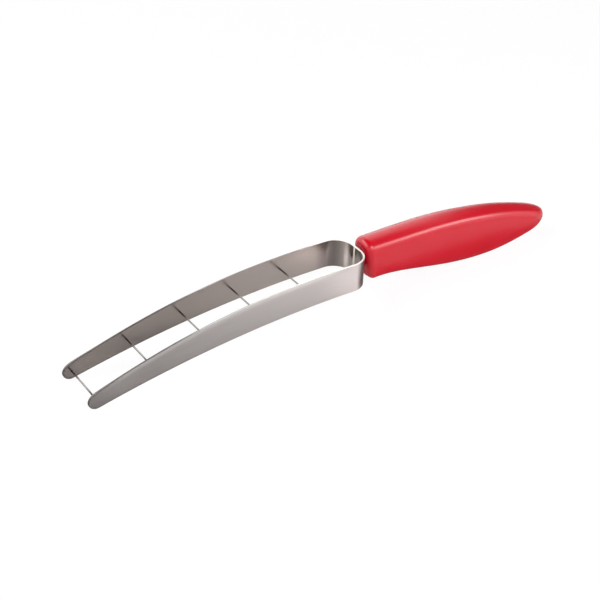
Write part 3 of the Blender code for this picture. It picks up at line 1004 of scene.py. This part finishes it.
@dataclass
class MouldedHandle:
    """The leaf-shaped handle, lofted through sections along its drooping axis."""

    shape: StripShape
    pose: RestPose
    length: float = 122.1 * MM
    front_x: float = 3.3 * MM
    below_strip_middle: float = 0.65 * MM
    droop: float = math.radians(4.54)
    front_lean: float = math.radians(13.5)
    lean_run: float = 30.0 * MM
    front_fillet: float = 3.4 * MM
    top_line: tuple[float, ...] = (11.6 * MM, 14.1 * MM, 14.2 * MM, 11.4 * MM, 8.6 * MM)
    bottom_line: tuple[float, ...] = (-10.1 * MM, -10.3 * MM, -13.3 * MM, -12.1 * MM, -8.0 * MM)
    half_widths: tuple[float, ...] = (7.4 * MM, 8.2 * MM, 6.9 * MM)
    nose_length: float = 45.5 * MM
    nose_fullness: float = 2.38
    nose_side_length: float = 13.0 * MM
    nose_end_size: float = 0.001 * MM
    edge_radius: float = 2.1 * MM
    side_crown: float = 0.8 * MM
    top_crown: float = 2.7 * MM
    bottom_crown: float = 1.2 * MM
    roundest_edge: float = 0.98
    fillet_steps: int = 14
    body_steps: int = 60
    nose_steps: int = 44
    corner_steps: int = 12
    flat_steps: int = 10
    front_rings: int = 4
    finish: Finish = field(default_factory=MouldedPlastic)

    def line_through(self, heights: Sequence[float], share: float) -> float:
        """Returns a value on the smooth curve through values at equal steps.

        Args:
            heights: The values.
            share: How far along the curve, from 0 to 1.

        Returns:
            The value there.
        """
        place = share * (len(heights) - 1)
        total = 0.0
        for i, height in enumerate(heights):
            weight = 1.0
            for j in range(len(heights)):
                if j != i:
                    weight *= (place - j) / (i - j)
            total += weight * height
        return total

    def section(self, half_width: float, half_height: float) -> list[Plan]:
        """Returns one section's outline: a rounded rectangle whose four sides are crowned.

        Args:
            half_width: Half the section's width.
            half_height: Half its height.

        Returns:
            Its points as (across, up), counterclockwise seen from behind.
        """
        fullest = self.half_widths[1]
        slimness = min(1.0, half_height / half_width)
        side_crown = half_width * self.side_crown / fullest
        top_crown = half_width * slimness * self.top_crown / fullest
        bottom_crown = half_width * slimness * self.bottom_crown / fullest
        width = half_width - side_crown
        height = half_height - (top_crown + bottom_crown) / 2
        lift = (bottom_crown - top_crown) / 2
        radius = min(self.edge_radius, self.roundest_edge * width, self.roundest_edge * height)
        arcs = []
        for quarter, (side, up) in enumerate(((1, 1), (-1, 1), (-1, -1), (1, -1))):
            angles = [math.pi / 2 * (quarter + i / self.corner_steps)
                      for i in range(self.corner_steps + 1)]
            arcs.append([Vector((side * (width - radius) + radius * math.cos(angle),
                                 up * (height - radius) + radius * math.sin(angle)))
                         for angle in angles])
        points = []
        for arc, following in zip(arcs, arcs[1:] + arcs[:1]):
            points += arc
            for i in range(1, self.flat_steps):
                points.append(arc[-1].lerp(following[0], i / self.flat_steps))
        crowned = []
        for y, z in points:
            side_bulge = side_crown * (1 - (z / height) ** 2) * y / width
            crown = top_crown if z > 0 else bottom_crown
            top_bulge = crown * (1 - (y / width) ** 2) * z / height
            crowned.append((y + side_bulge, z + lift + top_bulge))
        return crowned

    def places(self) -> list[float]:
        """Returns the sections' places along the handle, closer at its front and its nose."""
        body = self.length - self.nose_length - self.front_fillet
        fillet = [
            self.front_fillet * (1 - math.cos(math.pi / 2 * i / self.fillet_steps))
            for i in range(self.fillet_steps)]
        middle = [self.front_fillet + body * i / self.body_steps for i in range(self.body_steps)]
        nose = [
            self.length - self.nose_length
            + self.nose_length * math.sin(math.pi / 2 * i / self.nose_steps)
            for i in range(self.nose_steps + 1)]
        return fillet + middle + nose

    def ring(self, along: float) -> list[Vector]:
        """Returns the section at one place, in the strip's own axes.

        Args:
            along: The place's distance along the handle's axis.

        Returns:
            The section's points.
        """
        share = along / self.length
        top = self.line_through(self.top_line, share)
        bottom = self.line_through(self.bottom_line, share)
        half_width = self.line_through(self.half_widths, share)
        into_nose = max(0.0, (along - self.length + self.nose_length) / self.nose_length)
        fullness = self.nose_fullness
        half_height = (top - bottom) / 2 * max(0.0, 1 - into_nose ** fullness) ** (1 / fullness)
        into_side = max(0.0, (along - self.length + self.nose_side_length) / self.nose_side_length)
        half_width *= math.sqrt(max(0.0, 1 - into_side ** 2))
        before_fillet = max(0.0, 1 - along / self.front_fillet)
        inset = self.front_fillet * (1 - math.sqrt(1 - before_fillet ** 2))
        outline = self.section(max(half_width - inset, self.nose_end_size),
                               max(half_height - inset, self.nose_end_size))
        return [self.place(along, y, (top + bottom) / 2 + up) for y, up in outline]

    def place(self, along: float, across: float, height: float) -> Vector:
        """Returns a point of the handle in the strip's own axes.

        Args:
            along: Its distance along the handle's axis.
            across: Its distance from the middle plane.
            height: Its distance above the axis.

        Returns:
            The point.
        """
        lean_left = max(0.0, 1 - along / self.lean_run) ** 2
        length = along - math.tan(self.front_lean) * lean_left * height
        front_z = self.shape.height / 2 - self.below_strip_middle
        x = self.front_x + length * math.cos(self.droop) + height * math.sin(self.droop)
        z = front_z - length * math.sin(self.droop) + height * math.cos(self.droop)
        return Vector((x, across, z))

    def build(self) -> bpy.types.Object:
        """Builds and dresses the handle, in place of the CAD node."""
        places = self.places()
        body = [self.ring(along) for along in places[:-1]]
        centre = sum(body[0], Vector()) / len(body[0])
        front = [[centre.lerp(point, step / self.front_rings) for point in body[0]]
                 for step in range(1, self.front_rings)]
        nose_height = sum(
            self.line_through(line, 1.0) for line in (self.top_line, self.bottom_line))
        points = [centre] + [point for ring in front + body for point in ring]
        points.append(self.place(places[-1], 0.0, nose_height / 2))
        count = len(body[0])
        rows = [range(first, first + count) for first in range(1, len(points) - 1, count)]
        faces = fan(0, rows[0][::-1]) + bridge(rows, flip=True) + fan(len(points) - 1, rows[-1])
        matrix = self.pose.matrix()
        mesh = new_mesh("moulded_handle", [matrix @ point for point in points], faces)
        mesh.materials.append(self.finish.make())
        piece = new_object("moulded_handle", mesh)
        dress(piece, Slot.HANDLE, ("handle",))
        return piece


@dataclass(frozen=True)
class FloorPatch:
    """A soft oval of painted light or painted shade on the floor: lighter or darker than the rest.

    The oval is full up to the share `core` of its half sizes and fades to nothing at them.
    """

    x: float
    y: float
    half_x: float
    half_y: float
    core: float
    gain: float

    def apply(self, add: AddNode, place: Socket, level: Socket) -> Socket:
        """Multiplies a level by the patch.

        Args:
            add: Adds a node to the floor's material.
            place: The place on the floor.
            level: The level without the patch.

        Returns:
            The level with it.
        """
        moved = add("ShaderNodeVectorMath", (place, (self.x, self.y, 0.0)), operation="SUBTRACT")
        scaled = add("ShaderNodeVectorMath", (
            moved, (1 / self.half_x, 1 / self.half_y, 0.0)), operation="MULTIPLY")
        reach = add("ShaderNodeVectorMath", (scaled,), "Value", operation="LENGTH")
        gain = add("ShaderNodeMapRange", (reach, self.core, 1.0, self.gain, 1.0), **EASED)
        return add("ShaderNodeMath", (level, gain), operation="MULTIPLY")


@dataclass(frozen=True)
class PaleSurface(Finish):
    """Matt white paper, as a floor that curves up into a wall.

    To the camera it is white, with the object's faint shadow. Polished metal and plastic see
    it with its shadows and with painted light and shade: painted brighter toward the bow and
    beside its near corner, with painted shade round the handle, between the arms, round the
    tips and in front of the near arm, and a painted glint between the arms. They see painted
    glow and shade on the wall: bright in front of the object and behind it, and dark to its
    right and higher up.
    """

    name: str = "matt_white_paper"
    paper: str = "#F2F2F2"
    shadow_share: float = 0.12
    white_level: float = 1.04
    glow_share: float = 0.06
    # The floor's painted light: darker toward the tips, brighter toward the bow.
    dark_x: float = -0.10
    bright_x: float = 0.04
    dark_level: float = 0.46
    bright_level: float = 1.06
    patches: tuple[FloorPatch, ...] = (
        # Painted shadow under the handle, painted shade beside its front, and painted light beside
        # the bow's near corner.
        FloorPatch(0.085, 0.0, 0.085, 0.034, 0.6, 0.26),
        FloorPatch(0.036, -0.020, 0.016, 0.016, 0.3, 0.5),
        FloorPatch(0.023, -0.032, 0.029, 0.034, 0.0, 1.4),
        # Painted shade between the arms, and more of it toward the bow.
        FloorPatch(-0.030, -0.004, 0.085, 0.028, 0.6, 0.73),
        FloorPatch(-0.004, -0.012, 0.030, 0.016, 0.3, 0.86),
        # Painted shade round the tips, and in front of the near arm.
        FloorPatch(-0.145, -0.010, 0.028, 0.060, 0.2, 0.70),
        FloorPatch(-0.030, -0.125, 0.055, 0.065, 0.4, 0.78),
        # The glint between the arms that the far corner of the bow mirrors.
        FloorPatch(-0.019, 0.010, 0.011, 0.010, 0.4, 3.6),
    )
    near_reach: float = 0.25
    far_reach: float = 0.8
    # The wall's painted glow and shade: bright in front of the object and behind it, dark to its
    # right and higher up.
    bright_side: float = 0.58
    dark_side: float = 0.78
    bright_height: float = 0.72
    dark_height: float = 0.84
    bright_wall: float = 2.0
    dark_wall: float = 0.15
    near_wall: float = 1.7
    near_side: float = 0.4
    near_bright_height: float = 0.56
    near_dark_height: float = 0.64

    def fill(self, add: AddNode, shader: bpy.types.Node) -> None:
        """Adds the patterns and a shader of its own."""
        shader.id_data.nodes.clear()
        where = add("ShaderNodeTexCoord", output="Object")
        x, y, z = add("ShaderNodeSeparateXYZ", (where,)).node.outputs
        # The floor as metal and plastic see it, with its painted light and painted patches.
        floor = add("ShaderNodeMapRange", (
            x, self.dark_x, self.bright_x, self.dark_level, self.bright_level))
        for patch in self.patches:
            floor = patch.apply(add, where, floor)
        distance = add("ShaderNodeVectorMath", (where,), "Value", operation="LENGTH")
        sideways, nearness, upward = (
            add("ShaderNodeMath", (part, distance), operation="DIVIDE") for part in (x, y, z))
        fade = "ShaderNodeMapRange"
        low_wall = add(fade, (
            upward, self.bright_height, self.dark_height, self.bright_wall,
            self.dark_wall), **EASED)
        far_wall = add(fade, (
            sideways, self.bright_side, self.dark_side, low_wall, self.dark_wall), **EASED)
        near_part = add(fade, (
            upward, self.near_bright_height, self.near_dark_height, self.near_wall,
            self.dark_wall), **EASED)
        wall = add(fade, (nearness, -self.near_side, 0.0, near_part, far_wall), **EASED)
        away = add(fade, (distance, self.near_reach, self.far_reach), **EASED)
        level = add("ShaderNodeMix", (away, floor, wall), data_type="FLOAT")
        rays = {socket.name: socket for socket in add("ShaderNodeLightPath").node.outputs}
        mirrored = add("ShaderNodeMath", (
            rays["Is Glossy Ray"], rays["Is Transmission Ray"]), operation="MAXIMUM")
        camera_part = add("ShaderNodeMath", (
            rays["Is Camera Ray"], 1 - self.shadow_share), operation="MULTIPLY")
        seen = add("ShaderNodeMixShader", (
            camera_part, add("ShaderNodeBsdfDiffuse", {"Color": linear(self.paper)}),
            add("ShaderNodeEmission", {"Strength": self.white_level})))
        glow_part = add("ShaderNodeMapRange", {"Value": away, "To Min": self.glow_share})
        in_metal = add("ShaderNodeMixShader", (
            glow_part, add("ShaderNodeBsdfDiffuse", {"Color": level}),
            add("ShaderNodeEmission", {"Strength": level})))
        mixed = add("ShaderNodeMixShader", (mirrored, seen, in_metal))
        add("ShaderNodeOutputMaterial", {"Surface": mixed})


@dataclass(frozen=True)
class Softbox:
    """A soft lamp that faces the object."""

    name: str
    direction: tuple[float, float, float]
    distance: float
    width: float
    height: float
    power: float

    def build(self, target: Vector) -> None:
        """Hangs the lamp.

        Args:
            target: The point that it faces.
        """
        lamp = bpy.data.lights.new(self.name, "AREA")
        lamp.shape = "RECTANGLE"
        lamp.size = self.width
        lamp.size_y = self.height
        lamp.energy = self.power
        placed = bpy.data.objects.new(self.name, lamp)
        toward = Vector(self.direction).normalized()
        placed.location = target + toward * self.distance
        placed.rotation_euler = toward.to_track_quat("Z", "Y").to_euler()
        placed.visible_camera = False
        bpy.context.scene.collection.objects.link(placed)


@dataclass
class Studio:
    """The floor and wall, the lamps, the room's own light and the camera."""

    floor_radius: float = 2.2
    floor_rings: tuple[float, ...] = (0.02, 0.1, 0.3, 0.6, 1.0)
    wall_radius: float = 2.7
    wall_height: float = 4.2
    segments: int = 96
    curve_steps: int = 12
    room_level: float = 0.10
    target: Vector = field(default_factory=lambda: Vector((0.02, 0.0, 0.015)))
    lamps: tuple[Softbox, ...] = (
        Softbox("front_softbox", (0.00, -0.74, 0.67), 1.1, 0.5, 0.5, 6.0),
        Softbox("back_left_softbox", (-0.58, 0.34, 0.74), 1.1, 1.1, 0.5, 7.4),
        Softbox("ridge_softbox", (0.66, -0.60, 0.46), 1.0, 0.5, 0.24, 2.8),
    )
    lens: float = 76.71
    sensor_width: float = 36.0
    clip_start: float = 0.01
    camera_place: tuple[float, float, float] = (-331.232 * MM, -412.257 * MM, 342.583 * MM)
    camera_yaw: float = math.radians(35.888)
    camera_dip: float = math.radians(34.273)
    camera_roll: float = math.radians(2.441)

    def cove(self) -> None:
        """Builds the floor, which curves up into a round wall."""
        bend = self.wall_radius - self.floor_radius
        profile = [(self.floor_radius * share, 0.0) for share in self.floor_rings]
        for i in range(1, self.curve_steps + 1):
            turn = math.pi / 2 * i / self.curve_steps
            profile.append((self.floor_radius + bend * math.sin(turn), bend * (1 - math.cos(turn))))
        profile.append((self.wall_radius, self.wall_height))
        angles = [2 * math.pi * k / self.segments for k in range(self.segments)]
        points = [(0.0, 0.0, 0.0)]
        points += [(radius * math.cos(angle), radius * math.sin(angle), z)
                   for radius, z in profile for angle in angles]
        rows = [range(first, first + self.segments)
                for first in range(1, len(points), self.segments)]
        mesh = new_mesh("paper_cove", points, fan(0, rows[0]) + bridge(rows))
        mesh.materials.append(PaleSurface().make())
        cove = new_object("paper_cove", mesh)

    def room(self) -> None:
        """Gives the room above the wall a low, even light."""
        world = bpy.data.worlds.new("studio_room")
        world.use_nodes = True
        feed(world.node_tree.nodes["Background"], {
            "Color": (1.0, 1.0, 1.0, 1.0), "Strength": self.room_level})
        bpy.context.scene.world = world

    def camera(self, pose: RestPose) -> None:
        """Sets the camera at the photograph's viewing angle.

        Args:
            pose: How the strip lies, as the camera's place is given in the strip's own axes.
        """
        data = bpy.data.cameras.new("camera")
        data.lens = self.lens
        data.sensor_width = self.sensor_width
        data.clip_start = self.clip_start
        placed = bpy.data.objects.new("camera", data)
        matrix = Matrix.Translation(pose.shift + Vector(self.camera_place))
        for angle, axis in ((-self.camera_yaw, "Z"), (math.pi / 2 - self.camera_dip, "X"),
                            (self.camera_roll, "Z")):
            matrix = matrix @ Matrix.Rotation(angle, 4, axis)
        placed.matrix_world = matrix
        bpy.context.scene.collection.objects.link(placed)
        bpy.context.scene.camera = placed

    def build(self, pose: RestPose) -> None:
        """Builds the whole studio round the resting strip."""
        self.camera(pose)
        self.cove()
        self.room()
        for lamp in self.lamps:
            lamp.build(self.target)
        bpy.context.scene.view_settings.view_transform = "Standard"


def main() -> None:
    """Builds the dressed slicer and its studio."""
    logging.basicConfig(level=logging.INFO, format="%(name)s: %(message)s")
    shape = StripShape()
    pose = RestPose.from_frame(shape, REST_PITCH)
    log.info("rest shift %s", [round(value / MM, 3) for value in pose.shift])
    Studio().build(pose)
    assemblies = (
        CuttingStrip(shape, pose), CrossWires(shape), Tang(), MouldedHandle(shape, pose))
    for assembly in assemblies:
        piece = assembly.build()
        log.info("%s: %d faces", piece.name, len(piece.data.polygons))


if __name__ == "__main__":
    main()
